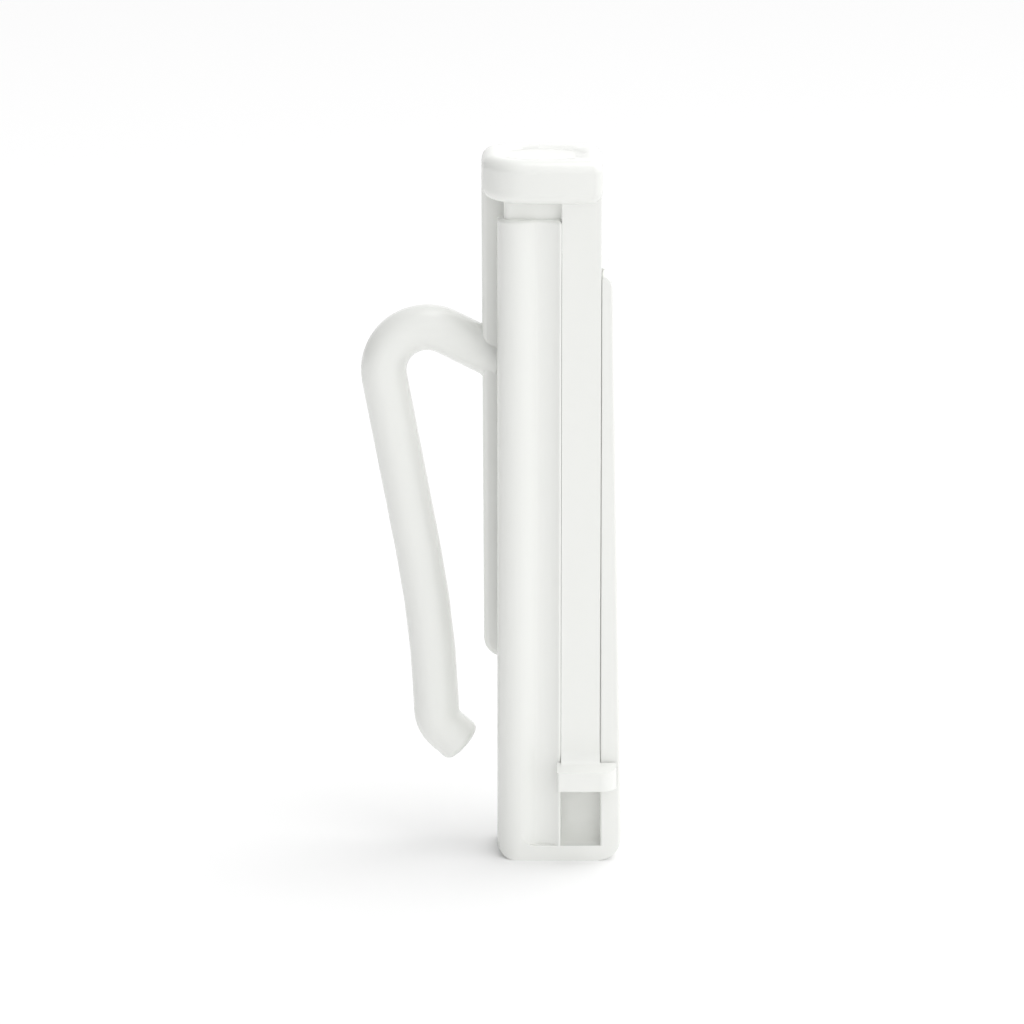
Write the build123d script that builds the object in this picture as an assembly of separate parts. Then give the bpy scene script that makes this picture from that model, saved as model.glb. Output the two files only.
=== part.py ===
from build123d import *

import math
import os

# A plastic pleat hook in two moulded halves that slide together.
# The fork stands on its foot. The hook slide hangs its plate and its strip down between the
# fork's two prongs, and its cap rests on the fork's neck.
# Frame: +Z up, -Y front, origin at the middle of the foot's underside. All sizes in millimetres.

# Running clearances: between faces that slide past each other, and at the strip's two snug sides
slide_gap = 0.15
strip_gap = 0.03

# Depth of the whole body, front face to back face
body_depth = 8.4

# Fork: foot
foot_width = 11.3
foot_thickness = 1.4
foot_left_round = 1.5
foot_right_round = 2.2

# Fork: front leg, a bar with one rounded side and a flute down its face
leg_width = 5.75
leg_thickness = 2.3
leg_height = 59.55
leg_side_round = 2.05
leg_inner_round = 0.15
leg_top_round = 0.35
flute_depth = 0.6
flute_end_round = 1.4
neck_rise = 1.45
neck_recess = 1.0
neck_inset = 0.6

# Fork: corner wall behind the strip, with a side rim that leans outwards towards the foot
wall_height = 54.85
wall_top_round = 1.45
wall_foot_fillet = 2.2
rim_top_width = 0.92
wall_edge_round = 0.4
rim_inner_round = 0.25

# Hook slide: cap
cap_height = 3.95
cap_width = 10.8
cap_left_lip = 0.1
cap_front_lip = 0.65
cap_right_lip = 0.4
cap_back_round = 1.9
cap_left_round = 4.0
cap_right_round = 0.8
cap_top_round = 1.1
cap_lower_round = 1.1
dish_depth = 0.25
dish_inset = 1.3
dish_side = 0.6

# Hook slide: back plate
plate_overhang = 1.4
plate_thickness = 3.8
plate_bottom = 17.9
plate_draft = 0.2
plate_draft_start = 0.5
plate_corner_round = 1.85
plate_edge_round = 0.5

# Hook slide: front strip and its finger lip
strip_width = 3.53
strip_thickness = 2.3
strip_recess = 0.12
strip_edge_round = 0.12
lip_bottom = 7.2
lip_height = 1.75
lip_top_rise = 0.45
lip_reach = 2.1
lip_left_overlap = 0.35
lip_right_overlap = 1.5
lip_end_round = 1.5
lip_root_fillet = 1.3
lip_edge_round = 0.25

# Hook slide: arm, a round rod from the plate's side over the crown and down to the tip
arm_diameter = 4.1
arm_root_height = 46.4
arm_root_rise = 27.0
arm_root_run = 3.1
arm_root_sink = 1.6
arm_crown_radius = 3.95
arm_shank_lean = 10.6
arm_shank_length = 16.0
arm_sweep_radius = 100.0
arm_end_lean = 2.0
arm_end_length = 0.6
arm_tip_radius = 2.6
arm_tip_lean = 48.0
arm_tip_length = 2.2
arm_tip_round = 0.7

# Places that follow from the sizes above
front = -body_depth / 2
back = body_depth / 2
leg_left = -foot_width / 2
leg_right = leg_left + leg_width
leg_back = front + leg_thickness
foot_right = foot_width / 2
strip_left = leg_right + strip_gap
strip_right = strip_left + strip_width
strip_front = front + strip_recess
strip_back = strip_front + strip_thickness
rim_inner = strip_right + strip_gap
rim_top_outer = rim_inner + rim_top_width
wall_front = strip_back + slide_gap
neck_top = leg_height + neck_rise
cap_bottom = neck_top + slide_gap / 3
cap_top = cap_bottom + cap_height
cap_middle = cap_bottom + cap_height / 2
cap_left = leg_left - plate_overhang
cap_right = cap_left + cap_width
plate_right = leg_right - slide_gap
plate_front = back - plate_thickness
lip_left = leg_right - lip_left_overlap
lip_right = strip_right + lip_right_overlap
lip_front = front - lip_reach
arm_radius = arm_diameter / 2
arm_y = back - arm_radius


def box_between(low, high):
    """A block between two opposite corners."""
    size = [h - l for l, h in zip(low, high)]
    middle = [(l + h) / 2 for l, h in zip(low, high)]
    return Pos(*middle) * Box(*size)


def front_block(points, rounds, y_low, y_high):
    """A block whose front view is the outline, each corner with its own rounding."""
    face = make_face(Polyline(*[(x, y_low, z) for x, z in points], close=True))
    for (x, z), radius in zip(points, rounds):
        if radius > 0:
            corner = face.vertices().sort_by_distance((x, y_low, z))[0]
            face = fillet(corner, radius)
    return extrude(face, amount=y_high - y_low, dir=(0, 1, 0))


def plan_block(points, rounds, z_low, z_high):
    """A block whose plan is the outline, each corner with its own rounding."""
    face = make_face(Polyline(*[(x, y, z_low) for x, y in points], close=True))
    for (x, y), radius in zip(points, rounds):
        if radius > 0:
            corner = face.vertices().sort_by_distance((x, y, z_low))[0]
            face = fillet(corner, radius)
    return extrude(face, amount=z_high - z_low, dir=(0, 0, 1))


def edges_where(shape, axis, test):
    """The straight edges along an axis whose middle passes the test."""
    return [edge for edge in shape.edges().filter_by(axis) if test(edge.center())]


def is_at(value, target):
    """True where two lengths are the same to a small part of a millimetre."""
    return abs(value - target) < 0.02


def leg_section():
    """The leg's plan: rounded outer side, a crest, the flute and a second crest."""
    crest_x = leg_left + leg_side_round
    inner_x = leg_right - leg_inner_round
    valley_x = (crest_x + inner_x) / 2
    half = inner_x - valley_x
    turn = 2 * math.atan(flute_depth / half)
    reach = half / math.sin(turn)
    diagonal = math.radians(45)

    def on_crest(x, radius, angle):
        return (x + radius * math.sin(angle), front + radius * (1 - math.cos(angle)))

    def in_flute(radius, angle):
        return (valley_x + radius * math.sin(angle),
                front + flute_depth - radius * (1 - math.cos(angle)))

    outer_hollow = reach - leg_side_round
    inner_hollow = reach - leg_inner_round
    side = (leg_left, front + leg_side_round)
    inner_side = (leg_right, front + leg_inner_round)
    outer_join = on_crest(crest_x, leg_side_round, turn)
    inner_join = on_crest(inner_x, leg_inner_round, -turn)
    valley = (valley_x, front + flute_depth)
    return make_face([
        ThreePointArc(side, on_crest(crest_x, leg_side_round, -diagonal), (crest_x, front)),
        ThreePointArc((crest_x, front), on_crest(crest_x, leg_side_round, turn / 2), outer_join),
        ThreePointArc(outer_join, in_flute(outer_hollow, -turn / 2), valley),
        ThreePointArc(valley, in_flute(inner_hollow, turn / 2), inner_join),
        ThreePointArc(inner_join, on_crest(inner_x, leg_inner_round, -turn / 2), (inner_x, front)),
        ThreePointArc((inner_x, front), on_crest(inner_x, leg_inner_round, diagonal), inner_side),
        Polyline(inner_side, (leg_right, leg_back), (leg_left, leg_back), side),
    ])


def make_leg():
    """The front leg, whose flute ends in a rounded corner above the foot."""
    fluted = extrude(leg_section(), amount=leg_height, dir=(0, 0, 1))
    top_face = fluted.faces().sort_by(Axis.Z)[-1]
    fluted = fillet(top_face.edges(), leg_top_round)
    crest_x = leg_left + leg_side_round
    border = box_between((crest_x, front, 0), (leg_right, leg_back, foot_thickness + flute_end_round))
    window = front_block(
        [(crest_x, foot_thickness), (leg_right + 1, foot_thickness),
         (leg_right + 1, leg_height), (crest_x, leg_height)],
        [flute_end_round, 0, 0, 0], front - 1, leg_back)
    return fluted + (border - window)


def make_neck():
    """The thinner neck on top of the leg that carries the cap."""
    left = leg_left + neck_inset
    return plan_block(
        [(left, front + neck_recess), (leg_right, front + neck_recess),
         (leg_right, leg_back), (left, leg_back)],
        [neck_inset, 0, 0, 0], leg_height - neck_rise, neck_top)


def rim_lean():
    """What the rim's front leans back by: nothing at the foot, and flush with the strip at its top."""
    side = Polyline((leg_right, front, foot_thickness), (leg_right, front - 1, foot_thickness),
                    (leg_right, front - 1, wall_height), (leg_right, strip_front, wall_height), close=True)
    return extrude(make_face(side), amount=foot_width, dir=(1, 0, 0))


def make_corner_wall():
    """The wall and its side rim, with the pocket that the strip slides in."""
    wall = front_block(
        [(leg_right, 0), (foot_right, 0), (rim_top_outer, wall_height), (leg_right, wall_height)],
        [0, 0, wall_top_round, 0], front, back)
    for y in (front, back):
        outer = [edge for edge in wall.edges() if is_at(edge.center().Y, y)
                 and edge.center().X > leg_right + 1 and edge.center().Z > foot_thickness]
        wall = fillet(outer, wall_edge_round)
    pocket = box_between((leg_right - 1, front - 1, foot_thickness),
                         (rim_inner, wall_front, wall_height + 1))
    floor_edge = edges_where(pocket, Axis.X, lambda c: is_at(c.Z, foot_thickness) and is_at(c.Y, wall_front))
    wall = wall - fillet(floor_edge, wall_foot_fillet)
    rim_edge = edges_where(wall, Axis.Z, lambda c: is_at(c.X, rim_inner) and is_at(c.Y, front))
    return fillet(rim_edge, rim_inner_round) - rim_lean()


def make_fork():
    """Foot, front leg and corner wall, moulded as one."""
    foot = plan_block(
        [(leg_left, front), (rim_inner, front), (rim_inner, back), (leg_left, back)],
        [leg_side_round, 0, 0, leg_side_round], 0, foot_thickness)
    outline = front_block(
        [(leg_left, 0), (foot_right, 0), (rim_top_outer, wall_height),
         (rim_top_outer, neck_top + 1), (leg_left, neck_top + 1)],
        [foot_left_round, foot_right_round, 0, 0, 0], front - 1, back + 1)
    return (foot + make_corner_wall() + make_leg() + make_neck()) & outline


def cap_plan():
    """The cap's plan at its underside: flat back, bowed front, a large round at the front left."""
    left_front = (cap_left, front - cap_left_lip)
    right_front = (cap_right, front - cap_right_lip)
    middle_front = ((cap_left + cap_right) / 2, front - cap_front_lip)
    plan = make_face([
        Polyline(right_front, (cap_right, back), (cap_left, back), left_front),
        ThreePointArc(left_front, middle_front, right_front),
    ])
    plan = fillet(plan.vertices().filter_by(lambda v: v.Y > 0), cap_back_round)
    plan = fillet(plan.vertices().sort_by_distance(left_front)[0], cap_left_round)
    plan = fillet(plan.vertices().sort_by_distance(right_front)[0], cap_right_round)
    return Pos(0, 0, cap_bottom) * plan


def make_cap():
    """The cap, rounded above and below, with a shallow dish in its top."""
    cap = extrude(cap_plan(), amount=cap_height, dir=(0, 0, 1))
    cap = fillet(cap.faces().sort_by(Axis.Z)[-1].edges(), cap_top_round)
    cap = fillet(cap.faces().sort_by(Axis.Z)[0].edges(), cap_lower_round)
    return cap - make_dish()


def make_dish():
    """The oval hollow in the cap's top, with sloping sides and a flat floor."""
    cap_front = front - cap_front_lip
    middle_x = (cap_left + cap_right) / 2
    middle_y = (back + cap_front) / 2
    long_half = cap_width / 2 - dish_inset
    short_half = (back - cap_front) / 2 - dish_inset
    rim = Pos(middle_x, middle_y, cap_top) * Ellipse(long_half, short_half)
    floor = Ellipse(long_half - dish_side, short_half - dish_side)
    floor = Pos(middle_x, middle_y, cap_top - dish_depth) * floor
    return loft([rim, floor])


def make_plate():
    """The back plate: flush under the cap, then drafted a little, and rounded at its lower end."""
    foot_left = cap_left + plate_draft
    plate = front_block(
        [(foot_left, plate_bottom), (plate_right, plate_bottom), (plate_right, cap_middle),
         (cap_left, cap_middle), (cap_left, cap_bottom - plate_draft_start)],
        [plate_corner_round, plate_corner_round, 0, 0, 0], plate_front, back)
    for y, radius in ((back, cap_back_round), (plate_front, plate_edge_round)):
        outer = [edge for edge in plate.edges() if is_at(edge.center().Y, y)
                 and edge.center().X < foot_left and edge.center().Z > plate_bottom + plate_corner_round]
        plate = fillet(outer, radius)
    return plate


def lip_gusset():
    """The hollow curve that carries the lip's sloping top up into the strip's face."""
    slope = math.atan2(lip_top_rise, lip_reach)
    centre_y = strip_front - lip_root_fillet
    end_y = centre_y + lip_root_fillet * math.sin(slope)
    end_z = lip_bottom + lip_height + (end_y - lip_front) * math.tan(slope)
    top_z = end_z + lip_root_fillet * math.cos(slope)
    halfway = (math.radians(90) - slope) / 2
    middle = (strip_left, centre_y + lip_root_fillet * math.cos(halfway),
              top_z - lip_root_fillet * math.sin(halfway))
    inner_y = strip_front + strip_thickness / 2
    start = (strip_left, strip_front, top_z)
    end = (strip_left, end_y, end_z)
    inside = (strip_left, inner_y, end_z)
    above = (strip_left, inner_y, top_z)
    below = (strip_left, end_y, lip_bottom + lip_height / 2)
    under = (strip_left, inner_y, lip_bottom + lip_height / 2)
    face = make_face([ThreePointArc(start, middle, end), Polyline(end, below, under, inside, above, start)])
    return extrude(face, amount=strip_width, dir=(1, 0, 0))


def make_strip():
    """The front strip that runs in the fork's pocket, with the finger lip at its lower end."""
    strip = plan_block(
        [(strip_left, strip_front), (strip_right, strip_front), (strip_right, strip_back),
         (strip_left, strip_back)],
        [0, strip_edge_round, strip_edge_round, strip_edge_round], lip_bottom, cap_middle)
    lip_top = lip_bottom + lip_height
    side = [(strip_back, lip_bottom), (lip_front, lip_bottom), (lip_front, lip_top),
            (front, lip_top + lip_top_rise), (strip_back, lip_top + lip_top_rise)]
    bar = make_face(Polyline(*[(lip_left, y, z) for y, z in side], close=True))
    bar = extrude(bar, amount=lip_right - lip_left, dir=(1, 0, 0))
    face_y = front - slide_gap
    over = plan_block(
        [(lip_left, face_y), (lip_left, lip_front), (lip_right, lip_front), (lip_right, face_y)],
        [0, lip_edge_round, lip_end_round, 0], lip_bottom, lip_top + lip_top_rise)
    root = box_between((strip_left, lip_front, lip_bottom), (strip_right, strip_back, lip_top + lip_top_rise))
    return strip + (bar & (over + root)) + lip_gusset()


def arm_centre_line():
    """The arm's centre line: straight root, crown, shank, slow sweep, tip bend and tip."""
    rise = math.radians(arm_root_rise)
    crown_x = cap_left - arm_root_run - arm_crown_radius * math.sin(rise)
    crown_z = arm_root_height + arm_root_run * math.tan(rise) - arm_crown_radius * math.cos(rise)

    def spot(centre, radius, degrees):
        """A point on a circle, by its angle from straight right, turning up."""
        angle = math.radians(degrees)
        return (centre[0] + radius * math.cos(angle), centre[1] + radius * math.sin(angle))

    def onward(point, lean, length):
        """A point further down the arm, which leans by so many degrees from the vertical."""
        angle = math.radians(lean)
        return (point[0] + length * math.sin(angle), point[1] - length * math.cos(angle))

    def placed(point):
        return (point[0], arm_y, point[1])

    crown = (crown_x, crown_z)
    root_start = (cap_left + arm_root_sink, arm_root_height - arm_root_sink * math.tan(rise))
    crown_start = spot(crown, arm_crown_radius, 90 - arm_root_rise)
    crown_middle = spot(crown, arm_crown_radius, 135)
    crown_end = spot(crown, arm_crown_radius, 180 + arm_shank_lean)
    shank_end = onward(crown_end, arm_shank_lean, arm_shank_length)
    sweep = spot(shank_end, arm_sweep_radius, 180 + arm_shank_lean)
    sweep_middle = spot(sweep, arm_sweep_radius, (arm_shank_lean + arm_end_lean) / 2)
    sweep_end = spot(sweep, arm_sweep_radius, arm_end_lean)
    bend_start = onward(sweep_end, arm_end_lean, arm_end_length)
    bend = spot(bend_start, arm_tip_radius, arm_end_lean)
    bend_middle = spot(bend, arm_tip_radius, 180 + (arm_end_lean + arm_tip_lean) / 2)
    bend_end = spot(bend, arm_tip_radius, 180 + arm_tip_lean)
    tip = onward(bend_end, arm_tip_lean, arm_tip_length)
    return Wire([
        Line(placed(root_start), placed(crown_start)),
        ThreePointArc(placed(crown_start), placed(crown_middle), placed(crown_end)),
        Line(placed(crown_end), placed(shank_end)),
        ThreePointArc(placed(shank_end), placed(sweep_middle), placed(sweep_end)),
        Line(placed(sweep_end), placed(bend_start)),
        ThreePointArc(placed(bend_start), placed(bend_middle), placed(bend_end)),
        Line(placed(bend_end), placed(tip)),
    ])


def make_arm():
    """The round arm, swept along its centre line and rounded at the tip."""
    path = arm_centre_line()
    section = Plane(origin=path @ 0, z_dir=path % 0) * Circle(arm_radius)
    arm = sweep(section, path=path)
    tip = path @ 1
    rims = arm.edges().filter_by(GeomType.CIRCLE)
    tip_rim = rims.filter_by(lambda edge: (edge.arc_center - tip).length < arm_tip_round)
    return fillet(tip_rim, arm_tip_round)


def make_hook_slide():
    """Cap, back plate, front strip and arm, moulded as one."""
    return make_cap() + make_plate() + make_strip() + make_arm()


def main():
    os.makedirs("parts", exist_ok=True)
    export_step(make_fork(), "parts/pleat_fork.step")
    export_step(make_hook_slide(), "parts/hook_slide.step")


if __name__ == "__main__":
    main()
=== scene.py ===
import math

import bmesh
import bpy
import numpy as np
from bpy.props import FloatProperty, FloatVectorProperty, IntProperty, PointerProperty
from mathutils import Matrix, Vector


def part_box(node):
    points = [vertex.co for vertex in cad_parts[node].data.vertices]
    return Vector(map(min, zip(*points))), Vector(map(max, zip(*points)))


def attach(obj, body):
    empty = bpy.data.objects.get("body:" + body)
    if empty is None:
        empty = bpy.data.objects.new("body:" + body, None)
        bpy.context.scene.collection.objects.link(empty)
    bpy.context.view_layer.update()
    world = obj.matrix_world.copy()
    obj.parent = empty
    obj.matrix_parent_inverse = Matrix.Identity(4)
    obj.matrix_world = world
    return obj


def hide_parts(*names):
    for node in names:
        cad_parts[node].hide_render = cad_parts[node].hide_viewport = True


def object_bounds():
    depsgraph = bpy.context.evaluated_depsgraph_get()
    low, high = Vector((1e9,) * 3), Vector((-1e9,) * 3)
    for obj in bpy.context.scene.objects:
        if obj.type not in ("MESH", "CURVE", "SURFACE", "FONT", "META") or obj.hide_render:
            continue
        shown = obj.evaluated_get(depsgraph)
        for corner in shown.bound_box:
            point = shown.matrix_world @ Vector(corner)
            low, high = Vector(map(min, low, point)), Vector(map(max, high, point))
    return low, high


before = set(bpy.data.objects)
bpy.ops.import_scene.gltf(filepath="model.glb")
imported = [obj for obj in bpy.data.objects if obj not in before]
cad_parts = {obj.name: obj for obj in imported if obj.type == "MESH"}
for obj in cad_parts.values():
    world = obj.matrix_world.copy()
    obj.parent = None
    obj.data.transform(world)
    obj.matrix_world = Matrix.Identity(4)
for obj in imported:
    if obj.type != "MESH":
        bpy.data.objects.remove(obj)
CAD_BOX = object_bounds()

bl_info = {
    "name": "Curtain pleat hook",
    "version": (1, 0, 0),
    "blender": (4, 5, 0),
    "location": "3D View > Sidebar > Pleat hook",
    "description": "Moulded surfaces, white plastic and a small studio for a two-piece curtain pleat hook",
    "category": "Object",
}

# The skins are worked in millimetres
MM = 0.001
MOST_TRIANGLES = 200000

# Corners closer than this are one corner, in metres and in a skin's millimetres
SAME_PLACE = 1e-7
SAME_PLACE_IN_SKIN = 1e-5

# The cap is looked for in the solid's uppermost stretch
CAP_STRETCH = 0.004

# How closely the arm's line and rod are stepped, and how much deeper than its cover the rod is sunk
TURN_STEP = math.radians(2)
ROD_STEP = 0.00012
SINK_IN_COVERS = 5

PLASTIC_IOR = 1.49
GLOW_BY_COLOUR = (1.0, 1.0, 0.85)
FLOOR_ROUGHNESS = 0.9
FLOOR_ROUGHNESS_SPREAD = 0.05
FLOOR_CLOUD_SIZE = 0.1
FLOOR_HALF_WIDTH = 6.0
SENSOR_WIDTH = 36


# Settings

class PlasticSettings(bpy.types.PropertyGroup):
    """The white plastic that both halves are moulded from."""
    colour: FloatVectorProperty(
        name="Colour", description="Colour of the plastic", subtype="COLOR", size=3,
        min=0, max=1, default=(0.687, 0.694, 0.66))
    roughness: FloatProperty(
        name="Roughness", description="How dull the moulded surface is", default=0.34, min=0, max=1,
        subtype="FACTOR")
    roughness_spread: FloatProperty(
        name="Roughness spread", description="How much the gloss wanders over the surface", default=0.08,
        min=0, max=1, subtype="FACTOR")
    cloud_size: FloatProperty(
        name="Cloud size", description="Width of the faint clouds in the plastic", default=0.009,
        subtype="DISTANCE", unit="LENGTH")
    cloud_tint: FloatProperty(
        name="Cloud tint", description="How much darker the clouds are", default=0.02, min=0, max=1,
        subtype="FACTOR")
    grain_size: FloatProperty(
        name="Grain size", description="Width of the mould's fine texture", default=0.00035,
        subtype="DISTANCE", unit="LENGTH")
    grain_depth: FloatProperty(
        name="Grain depth", description="Depth of the mould's fine texture", default=0.000004,
        subtype="DISTANCE", unit="LENGTH")
    ripple_size: FloatProperty(
        name="Ripple size", description="Width of the slow unevenness left by shrinkage", default=0.004,
        subtype="DISTANCE", unit="LENGTH")
    ripple_depth: FloatProperty(
        name="Ripple depth", description="Depth of the slow unevenness", default=0.00003,
        subtype="DISTANCE", unit="LENGTH")
    glow_depth: FloatProperty(
        name="Glow depth", description="How far light spreads inside the plastic", default=0.0012,
        subtype="DISTANCE", unit="LENGTH")
    glow: FloatProperty(
        name="Glow", description="Share of the light that goes through the plastic", default=0.35, min=0, max=1,
        subtype="FACTOR")


class SkinSettings(bpy.types.PropertyGroup):
    """How the moulded skins are made from the frame's solids."""
    crease: FloatProperty(
        name="Crease", description="Edges that turn by more than this stay crisp", default=math.radians(32),
        subtype="ANGLE", unit="ROTATION")
    stub: FloatProperty(
        name="Stub", description="How much of the solid's own arm stays under the rod's root", default=0.0002,
        subtype="DISTANCE", unit="LENGTH")
    cover: FloatProperty(
        name="Cover", description="How far the rod covers the solid's own arm", default=0.00001,
        subtype="DISTANCE", unit="LENGTH", precision=5)


class ArmSettings(bpy.types.PropertyGroup):
    """The round arm: its rod and the line it follows, in the order from the plate to the tip."""
    radius: FloatProperty(
        name="Radius", description="Radius of the rod", default=0.00205, subtype="DISTANCE", unit="LENGTH")
    sides: IntProperty(name="Sides", description="Faces round the rod", default=72, min=12, max=256)
    root_height: FloatProperty(
        name="Root height", description="Height at which the arm leaves the plate", default=0.0464,
        subtype="DISTANCE", unit="LENGTH")
    root_rise: FloatProperty(
        name="Root rise", description="Slope at which the arm leaves the plate", default=math.radians(27),
        subtype="ANGLE", unit="ROTATION")
    root_run: FloatProperty(
        name="Root run", description="Width of the straight root", default=0.0031,
        subtype="DISTANCE", unit="LENGTH")
    root_sink: FloatProperty(
        name="Root sink", description="How far the arm runs on inside the plate", default=0.0016,
        subtype="DISTANCE", unit="LENGTH")
    root_fillet: FloatProperty(
        name="Root fillet", description="Radius of the hollow curve above and below the arm's root",
        default=0.0001, subtype="DISTANCE", unit="LENGTH")
    crown_radius: FloatProperty(
        name="Crown radius", description="Radius of the turn at the top", default=0.00395,
        subtype="DISTANCE", unit="LENGTH")
    shank_lean: FloatProperty(
        name="Shank lean", description="Lean of the straight shank", default=math.radians(10.6),
        subtype="ANGLE", unit="ROTATION")
    shank_length: FloatProperty(
        name="Shank length", description="Length of the straight shank", default=0.016,
        subtype="DISTANCE", unit="LENGTH")
    sweep_radius: FloatProperty(
        name="Sweep radius", description="Radius of the slow bend below the shank", default=0.1,
        subtype="DISTANCE", unit="LENGTH")
    end_lean: FloatProperty(
        name="End lean", description="Lean at the end of the slow bend", default=math.radians(2),
        subtype="ANGLE", unit="ROTATION")
    end_length: FloatProperty(
        name="End length", description="Straight stretch above the tip", default=0.0006,
        subtype="DISTANCE", unit="LENGTH")
    tip_radius: FloatProperty(
        name="Tip radius", description="Radius of the turn into the tip", default=0.0026,
        subtype="DISTANCE", unit="LENGTH")
    tip_lean: FloatProperty(
        name="Tip lean", description="Lean of the tip", default=math.radians(48), subtype="ANGLE",
        unit="ROTATION")
    tip_length: FloatProperty(
        name="Tip length", description="Length of the straight tip", default=0.0022,
        subtype="DISTANCE", unit="LENGTH")
    tip_round: FloatProperty(
        name="Tip round", description="Rounding of the tip's rim", default=0.0007,
        subtype="DISTANCE", unit="LENGTH")


class StudioSettings(bpy.types.PropertyGroup):
    """Floor, lights and camera."""
    floor_colour: FloatVectorProperty(
        name="Floor colour", description="Colour of the floor", subtype="COLOR", size=3, min=0, max=1,
        default=(0.97, 0.97, 0.97))
    sky_even: FloatProperty(name="Even", description="Light from all round", default=0.0, min=0)
    sky_up: FloatProperty(name="Up", description="Light from above", default=0.35, min=0)
    sky_right: FloatProperty(name="Right", description="Light from the right", default=0.0, min=0)
    sky_high_right: FloatProperty(
        name="High right", description="Light from above and the right", default=1.22, min=0)
    sky_high_left: FloatProperty(
        name="High left", description="Light from above and the left", default=0.0, min=0)
    sky_high_front: FloatProperty(
        name="High front", description="Light from above and the front", default=0.0, min=0)
    sky_front: FloatProperty(name="Front", description="Light from the front", default=1.16, min=0)
    sky_back: FloatProperty(name="Back", description="Light from the back", default=1.16, min=0)
    top_power: FloatProperty(
        name="Top power", description="Power of the wide light overhead", default=0.8, min=0, unit="POWER")
    top_size: FloatProperty(
        name="Top size", description="Width of the wide light overhead", default=0.4,
        subtype="DISTANCE", unit="LENGTH")
    top_place: FloatVectorProperty(
        name="Top place", description="Where the wide light hangs", subtype="XYZ", size=3, unit="LENGTH",
        default=(0.12, 0.0, 0.6))
    right_power: FloatProperty(
        name="Right power", description="Power of the soft light at the right", default=0.0, min=0,
        unit="POWER")
    right_size: FloatProperty(
        name="Right size", description="Width of the soft light at the right", default=0.4,
        subtype="DISTANCE", unit="LENGTH")
    right_place: FloatVectorProperty(
        name="Right place", description="Where the soft light at the right stands", subtype="XYZ", size=3,
        unit="LENGTH", default=(0.6, -0.25, 0.45))
    camera_place: FloatVectorProperty(
        name="Camera place", description="Where the camera stands", subtype="XYZ", size=3, unit="LENGTH",
        default=(-0.00432, -0.5645, 0.183))
    camera_tilt: FloatProperty(
        name="Camera tilt", description="How far the camera looks down", default=math.radians(15),
        subtype="ANGLE", unit="ROTATION")
    camera_lens: FloatProperty(
        name="Camera lens", description="Focal length on a 36 mm frame, in millimetres", default=227.1, min=1)


class HookSettings(bpy.types.PropertyGroup):
    """Everything that a user of the hook may change."""
    plastic: PointerProperty(type=PlasticSettings)
    skin: PointerProperty(type=SkinSettings)
    arm: PointerProperty(type=ArmSettings)
    studio: PointerProperty(type=StudioSettings)


# Materials

class Number:
    """A number inside a material. Python's arithmetic on it adds the Math nodes."""

    def __init__(self, shader, socket):
        self.shader = shader
        self.socket = socket

    def combine(self, operation, first, second):
        return self.shader.number("ShaderNodeMath", {"operation": operation}, {0: first, 1: second}, "Value")

    def __add__(self, other):
        return self.combine("ADD", self, other)

    def __radd__(self, other):
        return self.combine("ADD", other, self)

    def __sub__(self, other):
        return self.combine("SUBTRACT", self, other)

    def __rsub__(self, other):
        return self.combine("SUBTRACT", other, self)

    def __mul__(self, other):
        return self.combine("MULTIPLY", self, other)

    def __rmul__(self, other):
        return self.combine("MULTIPLY", other, self)

    def at_least(self, other):
        return self.combine("MAXIMUM", self, other)


class Shader:
    """A short way to add nodes to a material or a world."""

    def __init__(self, owner):
        owner.use_nodes = True
        self.tree = owner.node_tree
        self.tree.nodes.clear()

    def node(self, kind, settings=None, sockets=None):
        """Adds a node, sets it up, then gives its sockets their values or links."""
        made = self.tree.nodes.new(kind)
        for key, value in (settings or {}).items():
            setattr(made, key, value)
        for key, value in (sockets or {}).items():
            if isinstance(value, Number):
                value = value.socket
            if isinstance(value, bpy.types.NodeSocket):
                self.tree.links.new(value, made.inputs[key])
            else:
                made.inputs[key].default_value = value
        return made

    def number(self, kind, settings=None, sockets=None, output=0):
        """Adds a node and returns one of its outputs as a number."""
        return Number(self, self.node(kind, settings, sockets).outputs[output])


def cloud(shader, place, size, detail=2.0):
    """Soft noise from 0 to 1 whose patches are about so wide."""
    return shader.number(
        "ShaderNodeTexNoise", {"noise_dimensions": "3D"},
        {"Vector": place, "Scale": 1 / size, "Detail": detail, "Roughness": 0.5}, "Fac")


def white_plastic(plastic):
    """Slightly translucent moulded plastic with a soft gloss, faint clouds and a fine mould texture."""
    material = bpy.data.materials.new("white_plastic")
    shader = Shader(material)
    place = shader.node("ShaderNodeTexCoord").outputs["Object"]
    clouds = cloud(shader, place, plastic.cloud_size)
    grain = cloud(shader, place, plastic.grain_size)
    ripple = cloud(shader, place, plastic.ripple_size, 1.0)
    colour = (*plastic.colour, 1)
    shade = (*[c * (1 - plastic.cloud_tint) for c in plastic.colour], 1)
    tinted = shader.node(
        "ShaderNodeMix", {"data_type": "RGBA"}, {"Factor": clouds, "A": colour, "B": shade})
    bump = shader.node(
        "ShaderNodeBump", {},
        {"Strength": 1.0, "Distance": 1.0,
         "Height": grain * plastic.grain_depth + ripple * plastic.ripple_depth})
    surface = shader.node(
        "ShaderNodeBsdfPrincipled", {"subsurface_method": "RANDOM_WALK"},
        {"Base Color": tinted.outputs["Result"],
         "Roughness": plastic.roughness + plastic.roughness_spread * (clouds - 0.5),
         "Normal": bump.outputs["Normal"], "IOR": PLASTIC_IOR, "Subsurface Weight": plastic.glow,
         "Subsurface Radius": GLOW_BY_COLOUR, "Subsurface Scale": plastic.glow_depth})
    shader.node("ShaderNodeOutputMaterial", {}, {"Surface": surface.outputs["BSDF"]})
    return material


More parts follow.
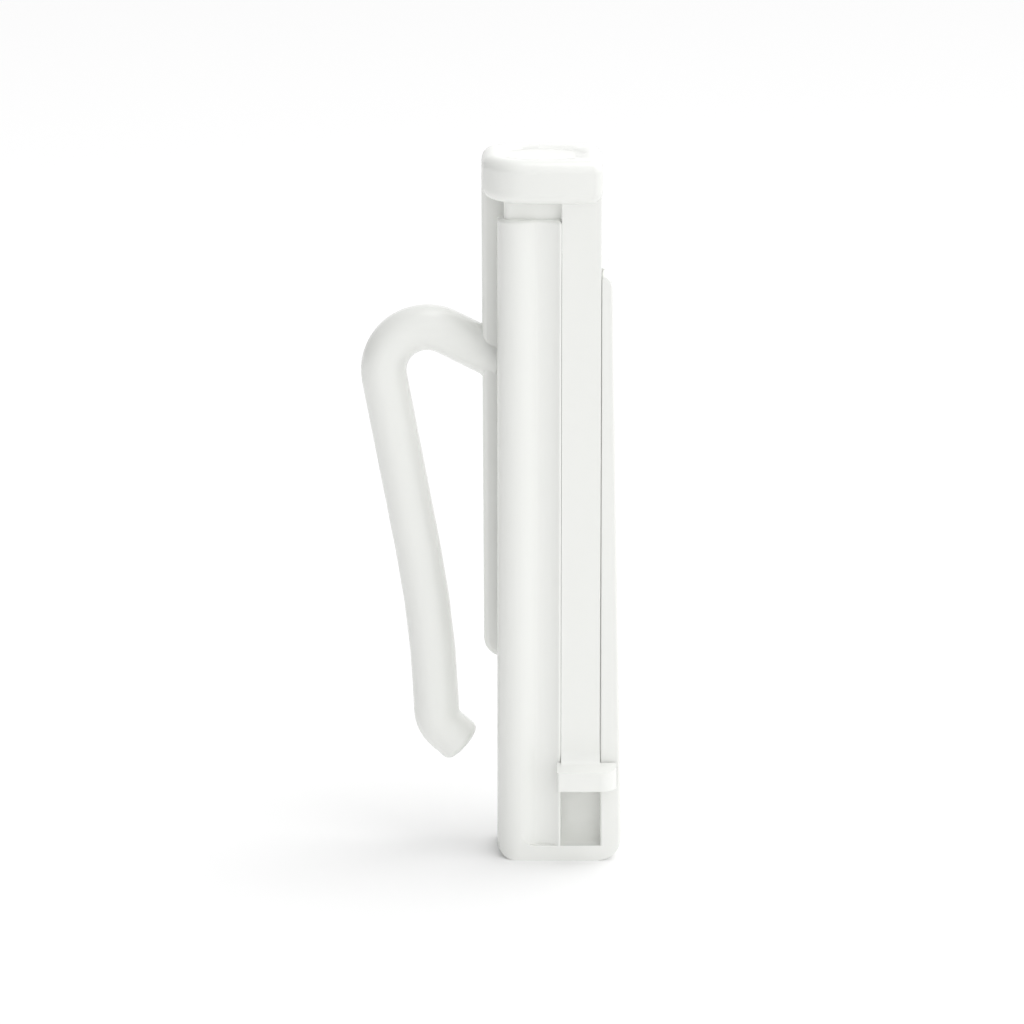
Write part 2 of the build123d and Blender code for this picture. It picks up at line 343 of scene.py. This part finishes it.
def floor_paint(studio):
    """Matt white paper whose roughness is barely uneven."""
    material = bpy.data.materials.new("studio_floor")
    shader = Shader(material)
    place = shader.node("ShaderNodeTexCoord").outputs["Object"]
    unevenness = cloud(shader, place, FLOOR_CLOUD_SIZE) - 0.5
    surface = shader.node(
        "ShaderNodeBsdfPrincipled", {},
        {"Base Color": (*studio.floor_colour, 1), "Specular IOR Level": 0.0,
         "Roughness": FLOOR_ROUGHNESS + FLOOR_ROUGHNESS_SPREAD * unevenness})
    shader.node("ShaderNodeOutputMaterial", {}, {"Surface": surface.outputs["BSDF"]})
    return material


def studio_sky(studio):
    """Even light that grows towards each side by its own strength."""
    world = bpy.data.worlds.new("studio_sky")
    world.use_nodes = True
    shader = Shader(world)
    direction = shader.node("ShaderNodeTexCoord").outputs["Generated"]
    strength = studio.sky_even
    slant = math.sqrt(0.5)
    sides = {
        (0, 0, 1): studio.sky_up,
        (1, 0, 0): studio.sky_right,
        (slant, 0, slant): studio.sky_high_right,
        (-slant, 0, slant): studio.sky_high_left,
        (0, -slant, slant): studio.sky_high_front,
        (0, -1, 0): studio.sky_front,
        (0, 1, 0): studio.sky_back,
    }
    for side, share in sides.items():
        facing = shader.number(
            "ShaderNodeVectorMath", {"operation": "DOT_PRODUCT"}, {0: direction, 1: side}, "Value")
        facing = facing.at_least(0)
        strength = strength + share * facing * facing
    glow = shader.node("ShaderNodeBackground", {}, {"Color": (1, 1, 1, 1), "Strength": strength})
    shader.node("ShaderNodeOutputWorld", {}, {"Surface": glow.outputs["Background"]})
    return world


def material_named(name, make, settings):
    """The material of that name if there is one, as the frame has for the plastic, or else a new one."""
    return bpy.data.materials.get(name) or make(settings)


# Meshes

def linked(name, data):
    """A new object in the scene."""
    made = bpy.data.objects.new(name, data)
    bpy.context.scene.collection.objects.link(made)
    return made


def plain_mesh(piece):
    """The piece's mesh with its modifiers applied. The piece itself is removed."""
    bpy.context.view_layer.update()
    evaluated = piece.evaluated_get(bpy.context.evaluated_depsgraph_get())
    mesh = bpy.data.meshes.new_from_object(evaluated)
    bpy.data.objects.remove(piece)
    return mesh


def merged_copy(node):
    """A copy of a frame node's mesh, in millimetres, with its shared corners joined."""
    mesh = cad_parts[node].data.copy()
    work = bmesh.new()
    work.from_mesh(mesh)
    bmesh.ops.remove_doubles(work, verts=work.verts, dist=SAME_PLACE)
    bmesh.ops.scale(work, vec=Vector((1, 1, 1)) / MM, verts=work.verts)
    work.to_mesh(mesh)
    work.free()
    return mesh


def cut_off(mesh, side):
    """The mesh without what lies further left than the side, closed there."""
    work = bmesh.new()
    work.from_mesh(mesh)
    cut = bmesh.ops.bisect_plane(
        work, geom=[*work.verts, *work.edges, *work.faces], plane_co=(side, 0, 0), plane_no=(-1, 0, 0),
        clear_outer=True)
    rim = [item for item in cut["geom_cut"] if isinstance(item, bmesh.types.BMEdge)]
    bmesh.ops.holes_fill(work, edges=rim)
    work.to_mesh(mesh)
    work.free()
    return mesh


def united(first, second):
    """One closed mesh round both."""
    piece, other = linked("whole", first), linked("other", second)
    union = piece.modifiers.new("Union", "BOOLEAN")
    union.operation = "UNION"
    union.solver = "EXACT"
    union.object = other
    mesh = plain_mesh(piece)
    bpy.data.objects.remove(other)
    return mesh


def creased(mesh, angle):
    """The mesh in metres, smooth but for its crisp edges, with flat faces that look flat."""
    work = bmesh.new()
    work.from_mesh(mesh)
    bmesh.ops.remove_doubles(work, verts=work.verts, dist=SAME_PLACE_IN_SKIN)
    bmesh.ops.scale(work, vec=Vector((MM, MM, MM)), verts=work.verts)
    for face in work.faces:
        face.smooth = True
    for edge in work.edges:
        edge.smooth = edge.calc_face_angle(0) < angle
    work.to_mesh(mesh)
    work.free()
    piece = linked("creased", mesh)
    even = piece.modifiers.new("Even", "WEIGHTED_NORMAL")
    even.weight = 100
    even.keep_sharp = True
    return plain_mesh(piece)


def finished(name, mesh, material, body, *nodes):
    """A shown piece made of the mesh, riding on its body in place of the frame's nodes."""
    mesh.calc_loop_triangles()
    if len(mesh.loop_triangles) > MOST_TRIANGLES:
        raise RuntimeError(f"{name} has {len(mesh.loop_triangles)} triangles")
    mesh.materials.clear()
    mesh.materials.append(material)
    piece = linked(name, mesh)
    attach(piece, body)
    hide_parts(*nodes)
    return piece


# The arm

def arm_line(arm, plate_side, depth, sink):
    """Close points along the middle of the arm, from inside the plate to the tip."""
    rise = arm.root_rise
    crown = np.array([
        plate_side - arm.root_run - arm.crown_radius * math.sin(rise),
        arm.root_height + arm.root_run * math.tan(rise) - arm.crown_radius * math.cos(rise)])
    start = np.array([plate_side + sink, arm.root_height - sink * math.tan(rise)])
    quarter = math.pi / 2

    def turn(centre, radius, first, last):
        """Points round a circle, by the angle from straight right."""
        steps = max(2, int(abs(last - first) / TURN_STEP))
        angles = np.linspace(first, last, steps)
        return centre + radius * np.column_stack([np.cos(angles), np.sin(angles)])

    def onward(point, lean, length):
        """A point further down, where the arm leans by so much from the vertical."""
        return point + length * np.array([math.sin(lean), -math.cos(lean)])

    over = turn(crown, arm.crown_radius, quarter - rise, math.pi + arm.shank_lean)
    shank_end = onward(over[-1], arm.shank_lean, arm.shank_length)
    centre = shank_end - arm.sweep_radius * np.array([math.cos(arm.shank_lean), math.sin(arm.shank_lean)])
    sweep = turn(centre, arm.sweep_radius, arm.shank_lean, arm.end_lean)
    bend_start = onward(sweep[-1], arm.end_lean, arm.end_length)
    middle = bend_start + arm.tip_radius * np.array([math.cos(arm.end_lean), math.sin(arm.end_lean)])
    bend = turn(middle, arm.tip_radius, math.pi + arm.end_lean, math.pi + arm.tip_lean)
    tip = onward(bend[-1], arm.tip_lean, arm.tip_length)
    flat = np.vstack([start, over, sweep, bend_start, bend[1:], tip])
    return [(x, depth, z) for x, z in flat]


def group_input(tree, name, kind, default=None):
    """Adds a named input to a node group."""
    made = tree.interface.new_socket(name, in_out="INPUT", socket_type=kind)
    if default is not None:
        made.default_value = default
    return made


def rod_tree():
    """A rod along a curve, rounded at its far end and filleted above and below where it leaves the plate."""
    tree = bpy.data.node_groups.new("rod_along_line", "GeometryNodeTree")
    group_input(tree, "Line", "NodeSocketGeometry")
    group_input(tree, "Radius", "NodeSocketFloat", 0.002)
    group_input(tree, "Tip Round", "NodeSocketFloat", 0.0007)
    group_input(tree, "Root Fillet", "NodeSocketFloat", 0.0007)
    group_input(tree, "Plate Side", "NodeSocketFloat", -0.007)
    group_input(tree, "Sides", "NodeSocketInt", 72)
    group_input(tree, "Material", "NodeSocketMaterial")
    tree.interface.new_socket("Rod", in_out="OUTPUT", socket_type="NodeSocketGeometry")
    entry = tree.nodes.new("NodeGroupInput")

    def add(kind, settings=None, sockets=None):
        made = tree.nodes.new(kind)
        for key, value in (settings or {}).items():
            setattr(made, key, value)
        for key, value in (sockets or {}).items():
            if isinstance(value, bpy.types.NodeSocket):
                tree.links.new(value, made.inputs[key])
            else:
                made.inputs[key].default_value = value
        return made

    def math_of(operation, first, second=0.0):
        return add("ShaderNodeMath", {"operation": operation}, {0: first, 1: second}).outputs[0]

    def hollow(distance, radius):
        """Height of a quarter circle over the distance: 0 at its start, the radius at its end."""
        within = math_of("MINIMUM", math_of("MAXIMUM", distance, 0.0), radius)
        left = math_of("SUBTRACT", radius, within)
        square = math_of("SUBTRACT", math_of("MULTIPLY", radius, radius), math_of("MULTIPLY", left, left))
        return math_of("SQRT", math_of("MAXIMUM", square, 0.0))

    def part_of(vector, axis):
        return add("ShaderNodeSeparateXYZ", {}, {"Vector": vector}).outputs[axis]

    length = add("GeometryNodeSplineLength").outputs["Length"]
    along = add("GeometryNodeSplineParameter").outputs["Length"]
    tip = entry.outputs["Tip Round"]
    fillet = entry.outputs["Root Fillet"]
    rounded = math_of("ADD", math_of("SUBTRACT", entry.outputs["Radius"], tip),
                      hollow(math_of("SUBTRACT", length, along), tip))
    fine = add("GeometryNodeResampleCurve", {"mode": "LENGTH"},
               {"Curve": entry.outputs["Line"], "Length": ROD_STEP})
    sized = add("GeometryNodeSetCurveRadius", {}, {"Curve": fine.outputs["Curve"], "Radius": rounded})
    ring = add("GeometryNodeCurvePrimitiveCircle", {"mode": "RADIUS"},
               {"Resolution": entry.outputs["Sides"], "Radius": 1.0})
    rod = add("GeometryNodeCurveToMesh", {},
              {"Curve": sized.outputs["Curve"], "Profile Curve": ring.outputs["Curve"], "Fill Caps": True,
               "Scale": add("GeometryNodeInputRadius").outputs["Radius"]})
    from_plate = math_of("SUBTRACT", entry.outputs["Plate Side"],
                         part_of(add("GeometryNodeInputPosition").outputs["Position"], "X"))
    facing = add("GeometryNodeInputNormal").outputs["Normal"]
    upright = math_of("MULTIPLY", part_of(facing, "Z"), part_of(facing, "Z"))
    grown = math_of("MULTIPLY", upright, math_of("SUBTRACT", fillet, hollow(from_plate, fillet)))
    offset = add("ShaderNodeVectorMath", {"operation": "SCALE"}, {"Vector": facing, "Scale": grown})
    shaped = add("GeometryNodeSetPosition", {},
                 {"Geometry": rod.outputs["Mesh"], "Offset": offset.outputs["Vector"]})
    whole = add("GeometryNodeRealizeInstances", {}, {"Geometry": shaped.outputs["Geometry"]})
    dressed = add("GeometryNodeSetMaterial", {},
                  {"Geometry": whole.outputs["Geometry"], "Material": entry.outputs["Material"]})
    leave = tree.nodes.new("NodeGroupOutput")
    tree.links.new(dressed.outputs["Geometry"], leave.inputs["Rod"])
    return tree


def rod_mesh(arm, skin, plate_side, depth, material):
    """The arm's rod as a plain mesh, in millimetres, a little thicker and deeper than the solid's own arm."""
    curve = bpy.data.curves.new("arm_line", "CURVE")
    curve.dimensions = "3D"
    points = arm_line(arm, plate_side, depth, arm.root_sink + SINK_IN_COVERS * skin.cover)
    spline = curve.splines.new("POLY")
    spline.points.add(len(points) - 1)
    for point, place in zip(spline.points, points):
        point.co = (*place, 1)
    piece = linked("arm_rod", curve)
    tree = rod_tree()
    modifier = piece.modifiers.new("Rod", "NODES")
    modifier.node_group = tree
    values = {
        "Radius": arm.radius + skin.cover, "Tip Round": arm.tip_round, "Root Fillet": arm.root_fillet,
        "Plate Side": plate_side, "Sides": arm.sides, "Material": material}
    for item in tree.interface.items_tree:
        if item.item_type == "SOCKET" and item.name in values:
            modifier[item.identifier] = values[item.name]
    mesh = plain_mesh(piece)
    work = bmesh.new()
    work.from_mesh(mesh)
    bmesh.ops.remove_doubles(work, verts=work.verts, dist=SAME_PLACE)
    bmesh.ops.recalc_face_normals(work, faces=work.faces)
    bmesh.ops.scale(work, vec=Vector((1, 1, 1)) / MM, verts=work.verts)
    work.to_mesh(mesh)
    work.free()
    return mesh


def held_within(rod, box):
    """Keeps the rod, which covers the solid's own arm, inside the solid's box."""
    low, high = [corner / MM for corner in box]
    for point in rod.vertices:
        point.co = [min(max(place, least), most) for place, least, most in zip(point.co, low, high)]


def cap_side():
    """How far left the cap's side stands, read from the frame's solid."""
    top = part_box("hook_slide")[1].z
    return min(v.co.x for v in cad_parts["hook_slide"].data.vertices if v.co.z > top - CAP_STRETCH)


# Operators

class PLEATHOOK_OT_fork(bpy.types.Operator):
    """Makes the moulded skin of the fork"""
    bl_idname = "pleathook.fork"
    bl_label = "Make the fork"

    def execute(self, context):
        settings = context.scene.pleat_hook
        plastic = material_named("white_plastic", white_plastic, settings.plastic)
        mesh = creased(merged_copy("pleat_fork"), settings.skin.crease)
        finished("moulded_fork", mesh, plastic, "fork", "pleat_fork")
        return {"FINISHED"}


class PLEATHOOK_OT_slide(bpy.types.Operator):
    """Makes the moulded skin of the hook slide with its round arm"""
    bl_idname = "pleathook.slide"
    bl_label = "Make the hook slide"

    def execute(self, context):
        settings = context.scene.pleat_hook
        plastic = material_named("white_plastic", white_plastic, settings.plastic)
        side = cap_side()
        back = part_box("pleat_fork")[1].y
        rod = rod_mesh(settings.arm, settings.skin, side, back - settings.arm.radius, plastic)
        held_within(rod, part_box("hook_slide"))
        body = cut_off(merged_copy("hook_slide"), (side - settings.skin.stub) / MM)
        mesh = creased(united(body, rod), settings.skin.crease)
        finished("moulded_hook_slide", mesh, plastic, "slide", "hook_slide")
        return {"FINISHED"}


class PLEATHOOK_OT_studio(bpy.types.Operator):
    """Lays the floor and sets the lights and the camera"""
    bl_idname = "pleathook.studio"
    bl_label = "Set up the studio"

    def execute(self, context):
        studio = context.scene.pleat_hook.studio
        work = bmesh.new()
        bmesh.ops.create_grid(work, x_segments=1, y_segments=1, size=FLOOR_HALF_WIDTH)
        mesh = bpy.data.meshes.new("studio_floor")
        work.to_mesh(mesh)
        work.free()
        mesh.materials.append(material_named("studio_floor", floor_paint, studio))
        linked("studio_floor", mesh)

        context.scene.world = studio_sky(studio)

        for side in ("top", "right"):
            light = bpy.data.lights.new(side + "_light", "AREA")
            light.shape = "DISK"
            light.size = getattr(studio, side + "_size")
            light.energy = getattr(studio, side + "_power")
            lamp = linked(side + "_light", light)
            lamp.location = getattr(studio, side + "_place")
            aim = Vector((0, 0, CAD_BOX[1].z / 2)) - lamp.location
            lamp.rotation_euler = aim.to_track_quat("-Z", "Y").to_euler()

        lens = bpy.data.cameras.new("camera")
        lens.sensor_width = SENSOR_WIDTH
        lens.lens = studio.camera_lens
        lens.clip_start = 0.01
        lens.clip_end = 100
        camera = linked("camera", lens)
        camera.location = studio.camera_place
        camera.rotation_euler = (math.pi / 2 - studio.camera_tilt, 0, 0)
        context.scene.camera = camera
        context.scene.view_settings.view_transform = "Standard"
        return {"FINISHED"}


class PLEATHOOK_PT_panel(bpy.types.Panel):
    """Lists the hook's settings and the steps that build it."""
    bl_idname = "PLEATHOOK_PT_panel"
    bl_label = "Pleat hook"
    bl_space_type = "VIEW_3D"
    bl_region_type = "UI"
    bl_category = "Pleat hook"

    def draw(self, context):
        settings = context.scene.pleat_hook
        for group in (settings.plastic, settings.skin, settings.arm, settings.studio):
            box = self.layout.box()
            for key in group.bl_rna.properties.keys():
                if key not in ("rna_type", "name"):
                    box.prop(group, key)
        for step in STEPS:
            self.layout.operator(step)


CLASSES = (
    PlasticSettings, SkinSettings, ArmSettings, StudioSettings, HookSettings,
    PLEATHOOK_OT_fork, PLEATHOOK_OT_slide, PLEATHOOK_OT_studio, PLEATHOOK_PT_panel)
STEPS = ("pleathook.studio", "pleathook.fork", "pleathook.slide")


def register():
    for item in CLASSES:
        bpy.utils.register_class(item)
    bpy.types.Scene.pleat_hook = PointerProperty(type=HookSettings)


def unregister():
    del bpy.types.Scene.pleat_hook
    for item in reversed(CLASSES):
        bpy.utils.unregister_class(item)


def main():
    register()
    bpy.ops.pleathook.studio()
    bpy.ops.pleathook.fork()
    bpy.ops.pleathook.slide()


if __name__ == "__main__":
    main()
